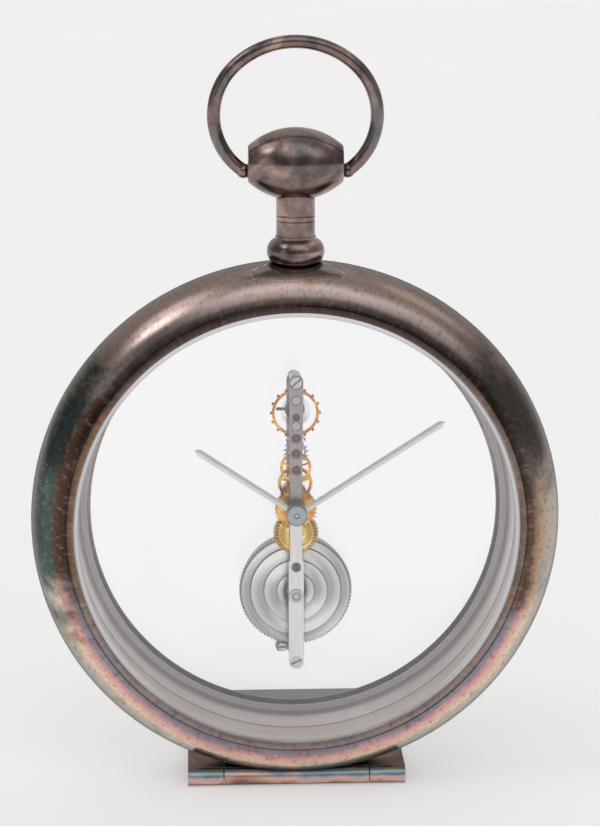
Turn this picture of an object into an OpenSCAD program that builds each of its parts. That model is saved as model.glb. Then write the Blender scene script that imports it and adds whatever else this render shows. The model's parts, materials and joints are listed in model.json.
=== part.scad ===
// Desk clock in the form of a large open-face pocket watch.
// A narrow in-line skeleton movement is screwed to the rear glass of a hollow round-section ring.
// Millimetres. +X is right, +Y is back, +Z is up; the dial side faces -Y.
// The origin lies on the underside of the foot, straight below the middle of the case,
// and the plane y = 0 halves the case front to back.

/* [Case] */
// Outer radius of the case ring
case_r = 73.2; // [72.5:0.1:73.4]
// Radius of the round section of the ring
ring_section_r = 13.6; // [13.4:0.1:13.8]
// Wall thickness of the hollow ring
ring_wall = 1.4; // [1.2:0.1:1.6]
// Radius of the front opening
opening_r = 61; // [60.8:0.1:61.2]
// Radius of the rear opening
rear_opening_r = 57.4; // [57:0.1:57.9]
// Thickness of each glass
glass_t = 2.2; // [2:0.1:2.3]

/* [Pendant and bow] */
// Radius of the bead at the foot of the pendant
bead_r = 7.85; // [7.5:0.05:8.1]
// Radius of the pendant neck
neck_r = 5.25; // [5:0.05:5.5]
// Largest radius of the crown
crown_r = 9.8; // [9.6:0.1:10]
// Radius of the flats at the crown's ends
crown_flat_r = 4.9; // [4.7:0.1:5.2]
// Length of the crown from flat to flat
crown_w = 25.5; // [25:0.1:26]
// Radius of the bow's wire
bow_wire_r = 1.8; // [1.7:0.02:1.86]

/* [Foot] */
// Overall width of the foot
foot_w = 61.3; // [58:0.1:64]
// Distance from the middle of the case to the rear edge of the foot
foot_back = 66; // [60:0.5:70]
// Thickness of the foot plate
foot_t = 2.3; // [2:0.1:2.3]
// Radius of the hinge knuckles
knuckle_r = 2.5; // [2.4:0.05:2.5]
// Width of the knuckle that belongs to the case
lug_w = 40.8; // [38:0.1:42]

/* [Movement layout] */
// Height of the hands' axis above the middle of the case
hub_rise = 3.5; // [3:0.1:4]
// Width of the upper front bar
bar_w = 3.9; // [3.9:0.05:4.1]
// Distance from the hands' axis to the top screw
top_screw_rise = 36.3; // [36.1:0.1:36.4]
// Distance from the hands' axis to the bottom screw
bottom_screw_drop = 43.7; // [43.5:0.1:44]
// Distance from the hands' axis down to the barrel
barrel_drop = 24.4; // [24.3:0.05:24.5]
// Distance from the hands' axis down to the intermediate wheel
intermediate_drop = 7; // [6.95:0.01:7.05]
// Distance from the hands' axis up to the third wheel
third_rise = 6.2; // [6.2:0.01:6.25]

/* [Hands] */
// Length of the hour hand
hour_len = 33.5; // [30:0.5:36]
// Length of the minute hand
minute_len = 48; // [42:0.5:52]
// Angle of the hour hand, clockwise from twelve
hour_angle = 303.6; // [0:0.1:360]
// Angle of the minute hand, clockwise from twelve
minute_angle = 57.2; // [0:0.1:360]

/* [Hidden] */

$fn = 144;
tiny = 0.01;

// Case: radii measured from the case axis, depths along Y
ring_gap = 2.6;
case_z = case_r + ring_gap;
section_c = case_r - ring_section_r;
seam_r = opening_r + 1.9;
seam_gap = 0.05;
seam_groove_r = 0.22;
seam_depth = sqrt(pow(ring_section_r, 2) - pow(seam_r - section_c, 2));
glass_r = opening_r + 0.9;
glass_front = -12.5;
gasket_front_t = 0.6;
sleeve_front = glass_front + glass_t + gasket_front_t;
sleeve_back = 10.2;
sleeve_step_y = 0.4;
sleeve_front_r = opening_r + 0.2;
sleeve_step_r = sleeve_front_r - 0.15;
sleeve_back_r = opening_r - 1;
rear_gasket_r = 58.2;
rear_glass_y = sleeve_back + 0.5;
rear_glass_back = rear_glass_y + glass_t;
glass_bevel = [2, 0.5];

// Pendant: heights above the case axis
bead_section_r = 3.9;
bead_rise = 75.6;
collar_top = 79.8;
groove_rises = [84, 85.4];
groove_w = 0.45;
groove_depth = 0.3;
stud_r = 2;
crown_rise = 99.2;
crown_z = case_z + crown_rise;
crown_arc_r = (pow(crown_w / 2, 2) + pow(crown_r - crown_flat_r, 2)) / (2 * (crown_r - crown_flat_r));

// Bow: an oval of one top arc and two side arcs that meet tangentially
bow_rise = 112.2;
bow_pivot_rise = 97.2;
bow_side_r = 17.9;
bow_side_x = 4;
bow_top_drop = 4.2;
bow_top_r = bow_side_r + norm([bow_side_x, bow_top_drop]);
bow_joint_angle = atan2(bow_top_drop, bow_side_x);
bow_end_angle = -56;
bow_ball_r = 2;
bow_gap = 0.2;
bow_pin_r = 1.45;
bushing_r = 2.1;
bushing_depth = 2.5;

// Foot and hinge
hinge_y = -5.5;
hinge_z = knuckle_r;
knuckle_gap = 0.25;
pin_r = 1;
run_gap = 0.05;
heel_back = 13;
heel_h = 5.1;
plate_front = hinge_y + knuckle_r + 0.4;
saddle_z = foot_t + 0.2;

// Movement: heights of the axes above the hub
hub_z = case_z + hub_rise;
fourth_rise = 11.6;
escape_rise = 16.3;
pallet_rise = 20.7;
balance_rise = 26.6;
lock_screw_drop = 16.1;
rear_screw_rise = top_screw_rise - 2;
steady_rises = [31.3, 24.1];
steady_r = 1.2;
lower_bar_w = 4.2;

// Movement: depths of the layers, front to back
bar_front = -4;
bar_back = -2.3;
plate_front_y = 8.8;
plate_back_y = 10.4;
hour_layer = [-1.9, -1.5];
minute_layer = [-1.4, -0.9];
intermediate_layer = [-0.7, -0.25];
centre_layer = [0.1, 0.5];
fourth_layer = [-0.45, -0.05];
third_layer = [3, 3.4];
escape_layer = [-1.4, -1.1];
balance_layer = [1.5, 2.2];
spring_layer = [3.6, 4.1];
barrel_front = 0.8;
barrel_teeth = [1.3, 3.3];
barrel_back = 7.6;
ratchet_layer = [7.8, 8.6];

// Gear train: tooth counts
barrel_teeth_n = 96;
intermediate_leaves = 12;
intermediate_teeth_n = 75;
centre_leaves = 10;
centre_teeth_n = 64;
third_leaves = 8;
third_teeth_n = 60;
fourth_leaves = 8;
fourth_teeth_n = 80;
escape_leaves = 8;
escape_teeth_n = 15;
cannon_leaves = 12;
minute_teeth_n = 36;
minute_leaves = 8;
hour_teeth_n = 32;

// Gear train: module of each pair from its centre distance
barrel_m = pair_module(barrel_drop - intermediate_drop, barrel_teeth_n, intermediate_leaves);
intermediate_m = pair_module(intermediate_drop, intermediate_teeth_n, centre_leaves);
centre_m = pair_module(third_rise, centre_teeth_n, third_leaves);
third_m = pair_module(fourth_rise - third_rise, third_teeth_n, fourth_leaves);
fourth_m = pair_module(escape_rise - fourth_rise, fourth_teeth_n, escape_leaves);
cannon_m = pair_module(intermediate_drop, minute_teeth_n, cannon_leaves);
hour_m = pair_module(intermediate_drop, hour_teeth_n, minute_leaves);

// Tooth form, in modules for heights and in shares of the pitch for widths
wheel_form = [1, 1.05, 0.54, 0.42, 0.15];
pinion_form = [0.6, 1.45, 0.34, 0.32, 0.1];

// Hands and motion work
hand_slope = 12;
stud_post_r = 0.55;
hour_pipe_r = 1.75;
cannon_pipe_r = 1.25;
centre_arbor_r = 0.55;
pivot_r = 0.17;
jewel_hole_r = 0.22;
jewel_r = 1;
balance_jewel_r = 0.8;

// Barrel and winding
drum_r = 15.15;
drum_wall = 0.65;
cover_r = 15.3;
cover_plug_r = 14.4;
cover_rings = [15.1, 12.6, 8.8, 5.1, 2.4];
cover_dish = 0.45;
arbor_journal_r = 1.2;
arbor_core_r = 3;
ratchet_r = 13.4;
ratchet_n = 60;
square_side = 2;
click_x = -3.6;
click_drop = 43;
click_lug_r = 1.9;
key_front = rear_glass_back + 0.4;

// Escapement and balance
escape_r = 3.6;
balance_r = 6.5;
balance_rim = 0.75;
balance_screw_n = 16;
balance_screw_r = 0.38;
roller_r = 1.35;
impulse_r = 1.15;
hairspring_turns = 9;
hairspring_r = [1, 4.2];
post_z = hub_z + balance_rise + hairspring_r[1] + 0.55;
mainspring_turns = 8;
mainspring_r = [3.6, 13.9];

function pair_module(distance, teeth, leaves) = 2 * distance / (teeth + leaves);

// Outline of a gear: addendum, dedendum, then root, pitch and tip widths
function gear_points(n, m, form, phase) =
    let (pitch = n * m / 2)
    let (rows = [
        [pitch - form[1] * m, -form[2]],
        [pitch, -form[3]],
        [pitch + form[0] * m, -form[4]],
        [pitch + form[0] * m, form[4]],
        [pitch, form[3]],
        [pitch - form[1] * m, form[2]]
    ])
    [for (i = [0:n - 1], row = rows) polar(row[0], phase + (i + row[1] / 2) * 360 / n)];

function polar(r, a) = [r * cos(a), r * sin(a)];

// Flat spiral strip: one edge outwards, the other edge back
function spiral_points(r, turns, t, start) =
    let (last = turns * 24)
    let (at = function (i, shift) polar(r[0] + (r[1] - r[0]) * i / last + shift, start + i * 15))
    concat([for (i = [0:last]) at(i, t / 2)], [for (i = [last:-1:0]) at(i, -t / 2)]);

// Stands a drawing made as seen from the front between two depths
module facing(layer, z = 0)
    translate([0, layer[1], z])
        rotate([90, 0, 0])
            linear_extrude(layer[1] - layer[0])
                children();

// Turns a profile of (radius, depth) about an axis along Y
module turned(z)
    translate([0, 0, z])
        rotate([-90, 0, 0])
            rotate_extrude()
                children();

module disc(z, r, front, back, x = 0)
    translate([x, front, z])
        rotate([-90, 0, 0])
            cylinder(r = r, h = back - front);

// Stepped shaft: each step is [front depth, radius], and end is the last depth
module shaft(z, steps, end)
    turned(z)
        polygon(concat(
            [[0, steps[0][0]]],
            [for (i = [0:len(steps) - 1], k = [0, 1])
                [steps[i][1], k == 0 ? steps[i][0] : (i + 1 < len(steps) ? steps[i + 1][0] : end)]],
            [[0, end]]
        ));

module across(x0, x1, y, z, r)
    translate([x0, y, z])
        rotate([0, 90, 0])
            cylinder(r = r, h = x1 - x0);

module gear_2d(n, m, form, phase) polygon(gear_points(n, m, form, phase));

// Gear with a round bore and, when arms is over 0, crossed out between hub and rim
module wheel_2d(n, m, phase, bore, rim = 0, hub = 0, arms = 0, arm_w = 0)
    difference() {
        gear_2d(n, m, wheel_form, phase);
        circle(bore);
        if (arms > 0)
            difference() {
                circle(rim);
                circle(hub);
                for (i = [0:arms - 1])
                    rotate(phase + i * 360 / arms)
                        translate([0, -arm_w / 2])
                            square([rim + 1, arm_w]);
            }
    }

module bar_2d(length, w0, w1)
    polygon([[-w0 / 2, 0], [w0 / 2, 0], [w1 / 2, length], [-w1 / 2, length]]);

// Round section of the ring, turned about the case axis
module ring_solid(r)
    turned(case_z)
        translate([section_c, 0])
            circle(r);

// Fine round grooves that mark where the bezels meet the ring
module seam_grooves()
    for (side = [-1, 1])
        translate([seam_r + seam_gap / 2, side * seam_depth])
            circle(seam_groove_r);

module case_ring()
    color([0.50, 0.44, 0.42])
        difference() {
            turned(case_z)
                difference() {
                    translate([section_c, 0])
                        circle(ring_section_r);
                    translate([section_c, 0])
                        circle(ring_section_r - ring_wall);
                    translate([0, -ring_section_r - 1])
                        square([seam_r + seam_gap, 2 * ring_section_r + 2]);
                    seam_grooves();
                }
            translate([0, 0, case_z + case_r - ring_wall - 2])
                cylinder(r = stud_r, h = ring_wall + 4);
        }

// Part of the ring's outline between two radii and two depths
module bezel_section(r0, r1, y0, y1)
    intersection() {
        translate([section_c, 0])
            circle(ring_section_r);
        translate([r0, y0])
            square([r1 - r0, y1 - y0]);
    }

module front_bezel()
    color([0.55, 0.49, 0.47])
        turned(case_z)
            difference() {
                bezel_section(opening_r, seam_r, -ring_section_r - 1, sleeve_front);
                translate([opening_r - 1, glass_front])
                    square([glass_r + seam_gap - opening_r + 1, 10]);
                seam_grooves();
            }

module rear_bezel()
    color([0.55, 0.49, 0.47])
        turned(case_z)
            difference() {
                bezel_section(rear_opening_r, seam_r, sleeve_back - 0.6, ring_section_r + 1);
                translate([rear_opening_r - 1, sleeve_back - 1])
                    square([glass_r + seam_gap - rear_opening_r + 1, rear_glass_back - sleeve_back + 1]);
                seam_grooves();
            }

module inner_sleeve()
    color([0.70, 0.66, 0.64])
        turned(case_z)
            polygon([
                [sleeve_front_r, sleeve_front], [glass_r, sleeve_front],
                [glass_r, sleeve_back], [sleeve_back_r, sleeve_back],
                [sleeve_step_r, sleeve_step_y], [sleeve_front_r, sleeve_step_y]
            ]);

module front_glass()
    color([0.90, 0.95, 0.97, 0.25])
        turned(case_z)
            polygon([
                [0, glass_front], [glass_r - glass_bevel[0], glass_front],
                [glass_r, glass_front + glass_bevel[1]],
                [glass_r, glass_front + glass_t], [0, glass_front + glass_t]
            ]);

module rear_glass()
    color([0.90, 0.95, 0.97, 0.25])
        difference() {
            disc(case_z, glass_r, rear_glass_y, rear_glass_back);
            disc(hub_z + rear_screw_rise, 1, rear_glass_y - 1, rear_glass_back + 1);
            disc(hub_z - bottom_screw_drop, 1, rear_glass_y - 1, rear_glass_back + 1);
            disc(hub_z - barrel_drop, 2.4, rear_glass_y - 1, rear_glass_back + 1);
            disc(hub_z, 1.6, rear_glass_y - 1, rear_glass_back + 1);
        }

module gaskets()
    color([0.78, 0.76, 0.74]) {
        turned(case_z)
            translate([sleeve_front_r, glass_front + glass_t])
                square([glass_r - sleeve_front_r, gasket_front_t]);
        turned(case_z)
            translate([rear_gasket_r, sleeve_back])
                square([glass_r - rear_gasket_r, rear_glass_y - sleeve_back]);
    }

module pendant_collar()
    color([0.56, 0.50, 0.48])
        difference() {
            translate([0, 0, case_z])
                rotate_extrude()
                    difference() {
                        union() {
                            translate([bead_r - bead_section_r, bead_rise])
                                circle(bead_section_r);
                            translate([0, bead_rise - 7])
                                square([bead_r - 2.5, 5.5]);
                            translate([0, bead_rise - 2])
                                square([neck_r + 0.25, collar_top - bead_rise + 2]);
                        }
                        translate([-bead_r, bead_rise - 8])
                            square([bead_r + stud_r, 20]);
                    }
            ring_solid(ring_section_r);
        }

module crown_solid()
    translate([0, 0, crown_z])
        rotate([0, 90, 0])
            rotate_extrude()
                intersection() {
                    translate([crown_r - crown_arc_r, 0])
                        circle(crown_arc_r);
                    translate([0, -crown_w / 2])
                        square([crown_r + 1, crown_w]);
                }

module pendant_neck()
    color([0.56, 0.50, 0.48])
        difference() {
            translate([0, 0, case_z + collar_top])
                cylinder(r = neck_r, h = crown_rise - collar_top - 5);
            for (rise = groove_rises)
                translate([0, 0, case_z + rise - groove_w / 2])
                    difference() {
                        cylinder(r = neck_r + 1, h = groove_w);
                        cylinder(r = neck_r - groove_depth, h = groove_w);
                    }
            translate([0, 0, case_z + collar_top - 1])
                cylinder(r = stud_r, h = 30);
            crown_solid();
        }

module pendant_stud()
    color([0.75, 0.73, 0.70])
        translate([0, 0, case_z + case_r - ring_wall - 1])
            cylinder(r = stud_r, h = crown_rise - case_r + ring_wall - 2);

module crown()
    color([0.52, 0.47, 0.45])
        difference() {
            crown_solid();
            translate([0, 0, crown_z - crown_r - 1])
                cylinder(r = stud_r, h = crown_r - 2);
            for (side = [-1, 1])
                across(
                    side > 0 ? crown_w / 2 - bushing_depth : -crown_w / 2 - 1,
                    side > 0 ? crown_w / 2 + 1 : -crown_w / 2 + bushing_depth,
                    0, case_z + bow_pivot_rise, bushing_r
                );
        }

module bow_bushings()
    color([0.72, 0.45, 0.28])
        for (side = [-1, 1])
            difference() {
                across(
                    side > 0 ? crown_w / 2 - bushing_depth : -crown_w / 2 - 0.15,
                    side > 0 ? crown_w / 2 + 0.15 : -crown_w / 2 + bushing_depth,
                    0, case_z + bow_pivot_rise, bushing_r
                );
                across(
                    side > 0 ? crown_w / 2 - bushing_depth - 1 : -crown_w / 2 - 1,
                    side > 0 ? crown_w / 2 + 1 : -crown_w / 2 + bushing_depth + 1,
                    0, case_z + bow_pivot_rise, bow_pin_r + run_gap
                );
            }

module wire_arc(x, z, r, from, to)
    translate([x, 0, z])
        rotate([90, 0, 0])
            rotate([0, 0, from])
                rotate_extrude(angle = to - from)
                    translate([r, 0])
                        circle(bow_wire_r);

// Everything below the bow's top arc, on the +X side
module bow_side() {
    end = polar(bow_side_r, bow_end_angle);
    joint = polar(bow_side_r, bow_joint_angle);
    wire_arc(bow_side_x, case_z + bow_rise, bow_side_r, bow_end_angle, bow_joint_angle);
    translate([bow_side_x + joint[0], 0, case_z + bow_rise + joint[1]])
        rotate([0, -bow_joint_angle, 0])
            cylinder(r = bow_wire_r + tiny, h = 0.1, center = true);
    difference() {
        translate([bow_side_x + end[0], 0, case_z + bow_rise + end[1]])
            sphere(bow_ball_r);
        translate([crown_w / 2 + bow_gap - 5, -5, case_z + bow_pivot_rise - 5])
            cube([5, 10, 10]);
    }
    across(crown_w / 2 - bushing_depth + 0.3, crown_w / 2 + 1.5, 0, case_z + bow_pivot_rise, bow_pin_r);
}

module bow()
    color([0.56, 0.50, 0.48])
        union() {
            wire_arc(0, case_z + bow_rise - bow_top_drop, bow_top_r, bow_joint_angle, 180 - bow_joint_angle);
            bow_side();
            mirror([1, 0, 0])
                bow_side();
        }

module case_lug()
    color([0.50, 0.40, 0.37])
        difference() {
            union() {
                across(-lug_w / 2, lug_w / 2, hinge_y, hinge_z, knuckle_r);
                translate([-lug_w / 2, hinge_y, saddle_z])
                    cube([lug_w, heel_back - hinge_y, heel_h - saddle_z]);
            }
            ring_solid(ring_section_r);
            across(-lug_w, lug_w, hinge_y, hinge_z, pin_r + run_gap);
        }

// End knuckle with the heel block behind it, on the +X side
module foot_end() {
    inner_x = lug_w / 2 + knuckle_gap;
    across(inner_x, foot_w / 2, hinge_y, hinge_z, knuckle_r);
    translate([inner_x, hinge_y, 0])
        cube([foot_w / 2 - inner_x, heel_back - hinge_y, heel_h]);
}

module foot_plate()
    color([0.50, 0.40, 0.37])
        difference() {
            union() {
                translate([-foot_w / 2, plate_front, 0])
                    cube([foot_w, foot_back - plate_front, foot_t]);
                foot_end();
                mirror([1, 0, 0])
                    foot_end();
            }
            across(-foot_w, foot_w, hinge_y, hinge_z, pin_r);
        }

module hinge_pin()
    color([0.62, 0.60, 0.58])
        across(-foot_w / 2 + 0.2, foot_w / 2 - 0.2, hinge_y, hinge_z, pin_r);

// Cone cut into the front face of the bars
module countersink(z, front_r, back_r)
    turned(z)
        polygon([
            [0, bar_front - tiny], [front_r, bar_front - tiny],
            [back_r, bar_front + 0.4], [0, bar_front + 0.4]
        ]);

// Upper front bar; its lower end is the rear half of a lap joint around the hub
module train_bridge()
    color([0.62, 0.59, 0.57])
        difference() {
            union() {
                facing([bar_front, bar_back], hub_z)
                    difference() {
                        union() {
                            bar_2d(top_screw_rise, 3.1, bar_w);
                            translate([0, top_screw_rise])
                                circle(bar_w / 2);
                        }
                        circle(2.65);
                    }
                disc(hub_z, 2.6, (bar_front + bar_back) / 2, bar_back);
                facing([(bar_front + bar_back) / 2, bar_back], hub_z)
                    translate([-1.5, 0])
                        square([3, 3.5]);
            }
            disc(hub_z, 2.15, bar_front - 1, bar_back + 1);
            disc(hub_z + top_screw_rise, 0.8, bar_front - 1, bar_back + 1);
            disc(hub_z + top_screw_rise, 1.65, bar_front - 1, bar_front + 0.6);
            countersink(hub_z + top_screw_rise, 1.85, 1.55);
            for (rise = steady_rises)
                disc(hub_z + rise, steady_r + 0.15, bar_front - 1, bar_front + 0.8);
            for (rise = [fourth_rise, escape_rise, pallet_rise]) {
                disc(hub_z + rise, jewel_r, bar_front - 1, bar_back + 1);
                countersink(hub_z + rise, 1.45, 0.9);
            }
            disc(hub_z + balance_rise, balance_jewel_r, bar_front - 1, bar_back + 1);
            countersink(hub_z + balance_rise, 1.05, 0.7);
            disc(hub_z + third_rise, jewel_hole_r, bar_back - 0.8, bar_back + 1);
        }

// Lower front bar; its upper end is the front half of the lap joint around the hub
module barrel_bridge()
    color([0.84, 0.83, 0.81])
        difference() {
            union() {
                facing([bar_front, bar_back], hub_z)
                    difference() {
                        union() {
                            mirror([0, 1])
                                bar_2d(14.3, 3.4, 3.4);
                            translate([-lower_bar_w / 2, -bottom_screw_drop])
                                square([lower_bar_w, bottom_screw_drop - 14.3]);
                            translate([0, -bottom_screw_drop])
                                circle(lower_bar_w / 2);
                        }
                        circle(2.65);
                    }
                disc(hub_z, 2.6, bar_front, (bar_front + bar_back) / 2);
                facing([bar_front, (bar_front + bar_back) / 2], hub_z)
                    translate([-1.7, -3.5])
                        square([3.4, 3.5]);
                disc(hub_z - intermediate_drop, stud_post_r, bar_back - 0.2, minute_layer[1] + 0.05);
            }
            disc(hub_z, 2.15, bar_front - 1, bar_back + 1);
            disc(hub_z - intermediate_drop, jewel_hole_r + 0.05, minute_layer[1] - 0.8, 0);
            disc(hub_z - lock_screw_drop, 0.6, bar_front - 1, bar_back + 1);
            disc(hub_z - barrel_drop, 1.65, bar_front - 1, bar_back + 1);
            disc(hub_z - bottom_screw_drop, 0.8, bar_front - 1, bar_back + 1);
            disc(hub_z - bottom_screw_drop, 1.65, bar_front - 1, bar_front + 0.6);
        }

module bush(z, r_out, r_in, front, back)
    difference() {
        disc(z, r_out, front, back);
        disc(z, r_in, front - 1, back + 1);
    }

module bridge_bushes()
    color([0.78, 0.77, 0.75]) {
        bush(hub_z, 2.15, hour_pipe_r + run_gap, bar_front - 0.6, bar_back + 0.1);
        bush(hub_z - barrel_drop, 1.65, arbor_journal_r + run_gap, bar_front - 0.05, bar_back + 0.1);
        bush(hub_z - barrel_drop, 1.85, arbor_journal_r + run_gap, bar_front - 0.35, bar_front);
    }

// The top pillar is cranked: its rear half stands lower than its front half
module pillars()
    color([0.80, 0.79, 0.77]) {
        difference() {
            union() {
                disc(hub_z + top_screw_rise, 1.6, bar_back, 5);
                disc(hub_z + rear_screw_rise, 1.6, 3, plate_front_y);
                facing([3, 5], hub_z)
                    translate([-1.6, rear_screw_rise])
                        square([3.2, top_screw_rise - rear_screw_rise]);
            }
            disc(hub_z + top_screw_rise, 0.8, bar_back - 1, 1.5);
            disc(hub_z + rear_screw_rise, 0.9, 5, plate_front_y + 1);
        }
        difference() {
            disc(hub_z - bottom_screw_drop, 1.6, bar_back, plate_front_y);
            disc(hub_z - bottom_screw_drop, 0.8, bar_back - 1, 1.5);
            disc(hub_z - bottom_screw_drop, 0.9, 5, plate_front_y + 1);
        }
    }

// Cheese-head screw with a slot; the head's front face is at y
module slotted_screw(z, head_r, head_t, shank_r, front, back, slot_angle)
    difference() {
        union() {
            disc(z, head_r, front, front + head_t);
            disc(z, shank_r, front + head_t - tiny, back);
        }
        translate([0, front + 0.35, z])
            rotate([0, slot_angle, 0])
                translate([-head_r - 1, -2, -0.22])
                    cube([2 * head_r + 2, 2, 0.44]);
    }

module bridge_screws()
    color([0.72, 0.72, 0.72]) {
        slotted_screw(hub_z + top_screw_rise, 1.65, 0.6, 0.8, bar_front, 1, -40);
        slotted_screw(hub_z - bottom_screw_drop, 1.65, 0.6, 0.8, bar_front, 1, -25);
        slotted_screw(hub_z - lock_screw_drop, 1.25, 0.5, 0.6, bar_front - 0.5, bar_back - 0.2, 90);
    }

module steady_pins()
    color([0.66, 0.63, 0.60])
        for (rise = steady_rises)
            disc(hub_z + rise, steady_r, bar_front, bar_front + 0.8);

module mounting_screws()
    color([0.72, 0.72, 0.72])
        for (z = [hub_z + rear_screw_rise, hub_z - bottom_screw_drop])
            difference() {
                union() {
                    disc(z, 0.9, 5, rear_glass_back + tiny);
                    disc(z, 1.8, rear_glass_back, rear_glass_back + 1.2);
                }
                translate([-4, rear_glass_back + 0.7, z - 0.3])
                    cube([8, 2, 0.6]);
            }

module jewel(z, hole_r, front, back, r = jewel_r) bush(z, r, hole_r, front, back);

module jewels()
    color([0.62, 0.10, 0.28]) {
        for (rise = [fourth_rise, escape_rise, pallet_rise])
            jewel(hub_z + rise, jewel_hole_r, bar_front + 0.35, bar_back - 0.3);
        jewel(hub_z + balance_rise, jewel_hole_r, bar_front + 0.35, bar_back - 0.3, balance_jewel_r);
        for (rise = [third_rise, fourth_rise, escape_rise])
            jewel(hub_z + rise, jewel_hole_r, plate_front_y, plate_front_y + 1);
        jewel(hub_z - intermediate_drop, 0.3, plate_front_y, plate_front_y + 1);
        jewel(hub_z, 0.85, plate_front_y, plate_back_y, 1.5);
        jewel(hub_z + balance_rise, jewel_hole_r, 5.6, 6.6);
    }

module rear_plate()
    color([0.76, 0.75, 0.73])
        difference() {
            union() {
                facing([plate_front_y, plate_back_y], hub_z) {
                    translate([-2.2, -bottom_screw_drop])
                        square([4.4, bottom_screw_drop + rear_screw_rise]);
                    translate([0, rear_screw_rise])
                        circle(2.2);
                    translate([0, -bottom_screw_drop])
                        circle(2.2);
                    translate([click_x, -click_drop])
                        circle(click_lug_r);
                    translate([click_x, -click_drop - 1.2])
                        square([-click_x, 2.4]);
                    translate([0, -barrel_drop])
                        circle(3.6);
                }
                disc(hub_z + balance_rise, 1.6, 5.6, plate_front_y + tiny);
                disc(post_z, 0.5, spring_layer[0] - 0.3, plate_front_y + tiny);
                for (z = [hub_z + rear_screw_rise, hub_z - bottom_screw_drop])
                    disc(z, 1.9, plate_back_y - tiny, rear_glass_y);
            }
            for (z = [hub_z + rear_screw_rise, hub_z - bottom_screw_drop])
                disc(z, 0.9, plate_front_y - 1, rear_glass_y + 1);
            for (rise = [third_rise, fourth_rise, escape_rise, -intermediate_drop])
                disc(hub_z + rise, jewel_r, plate_front_y - 1, plate_front_y + 1);
            disc(hub_z, 1.5, plate_front_y - 1, plate_back_y + 1);
            disc(hub_z - barrel_drop, arbor_journal_r + run_gap, plate_front_y - 1, plate_back_y + 1);
            disc(hub_z + balance_rise, jewel_r, 5, 6.6);
            disc(hub_z - click_drop, 0.7, plate_front_y - 1, plate_back_y - 0.4, click_x);
        }

// Small bridge behind the escape wheel that carries the pallet arbor's rear pivot
module pallet_cock()
    color([0.80, 0.79, 0.77])
        difference() {
            union() {
                facing([-0.45, 0.15], hub_z) {
                    translate([-1.9, pallet_rise - 0.9])
                        square([3.8, 3.4]);
                    translate([0, pallet_rise - 0.9])
                        circle(1);
                }
                for (x = [-1.45, 1.45])
                    disc(hub_z + pallet_rise + 1.9, 0.38, bar_back, -0.4, x);
            }
            disc(hub_z + pallet_rise, jewel_hole_r, -1, 1);
        }

// Index of the regulator, turning on the boss behind the balance
module regulator()
    color([0.30, 0.30, 0.32])
        union() {
            facing([6.5, 7.1], hub_z + balance_rise)
                difference() {
                    union() {
                        circle(2.8);
                        translate([-5.2, -0.4])
                            square([5.2, 0.8]);
                        rotate(60)
                            translate([0, -0.3])
                                square([4.1, 0.6]);
                    }
                    circle(1.6 + run_gap);
                }
            translate([3.9 * cos(60), 0, 3.9 * sin(60)])
                disc(hub_z + balance_rise, 0.15, spring_layer[1] + 0.2, 6.6);
        }

module hairspring()
    color([0.55, 0.60, 0.72])
        facing(spring_layer, hub_z + balance_rise)
            polygon(spiral_points(hairspring_r, hairspring_turns, 0.06, 90));

module barrel_drum()
    color([0.66, 0.64, 0.63])
        union() {
            facing(barrel_teeth, hub_z - barrel_drop)
                difference() {
                    gear_2d(barrel_teeth_n, barrel_m, wheel_form, 90);
                    circle(drum_r - drum_wall);
                }
            turned(hub_z - barrel_drop)
                polygon([
                    [drum_r - drum_wall, barrel_front + 0.4], [drum_r - 0.15, barrel_front + 0.4],
                    [drum_r - 0.15, barrel_teeth[0]], [drum_r, barrel_teeth[0]],
                    [drum_r, barrel_back - 0.3], [drum_r - 0.3, barrel_back],
                    [arbor_journal_r + run_gap, barrel_back], [arbor_journal_r + run_gap, barrel_back - 0.6],
                    [drum_r - drum_wall, barrel_back - 0.6]
                ]);
        }

// Front cover: a plug inside the drum's rim, its face turned with dished concentric rings
module barrel_cover()
    color([0.74, 0.72, 0.71])
        turned(hub_z - barrel_drop)
            polygon(concat(
                [[arbor_journal_r + run_gap, barrel_front + 0.9], [cover_plug_r, barrel_front + 0.9]],
                [[cover_plug_r, barrel_front + 0.4], [cover_r, barrel_front + 0.4]],
                [[cover_r, barrel_front + 0.15]],
                [for (i = [0:len(cover_rings) - 2], k = [0, 1])
                    [cover_rings[i + k], barrel_front + k * cover_dish]],
                [[cover_rings[len(cover_rings) - 1], barrel_front - 0.2]],
                [[arbor_journal_r + run_gap, barrel_front - 0.2]]
            ));

module mainspring()
    color([0.35, 0.38, 0.45])
        facing([2, 6.6], hub_z - barrel_drop)
            polygon(spiral_points(mainspring_r, mainspring_turns, 0.35, 0));

module barrel_arbor()
    color([0.68, 0.68, 0.69])
        union() {
            shaft(
                hub_z - barrel_drop,
                [[bar_front - 0.4, 0.7], [bar_front - 0.1, arbor_journal_r], [2, arbor_core_r],
                 [6.6, arbor_journal_r], [ratchet_layer[0], 0.9]],
                ratchet_layer[1]
            );
            facing([ratchet_layer[0] - tiny, ratchet_layer[1] + tiny], hub_z - barrel_drop)
                square(square_side, center = true);
            disc(hub_z - barrel_drop, arbor_journal_r, ratchet_layer[1], plate_back_y + 0.1);
            facing([plate_back_y, key_front + 3], hub_z - barrel_drop)
                square(1.6, center = true);
        }

module ratchet_wheel()
    color([0.70, 0.70, 0.71])
        facing(ratchet_layer, hub_z - barrel_drop)
            difference() {
                polygon([for (i = [0:ratchet_n - 1], k = [0, 1])
                    polar(k == 0 ? ratchet_r : ratchet_r - 0.7, (i + k * 0.15) * 360 / ratchet_n)]);
                square(square_side, center = true);
            }

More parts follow.
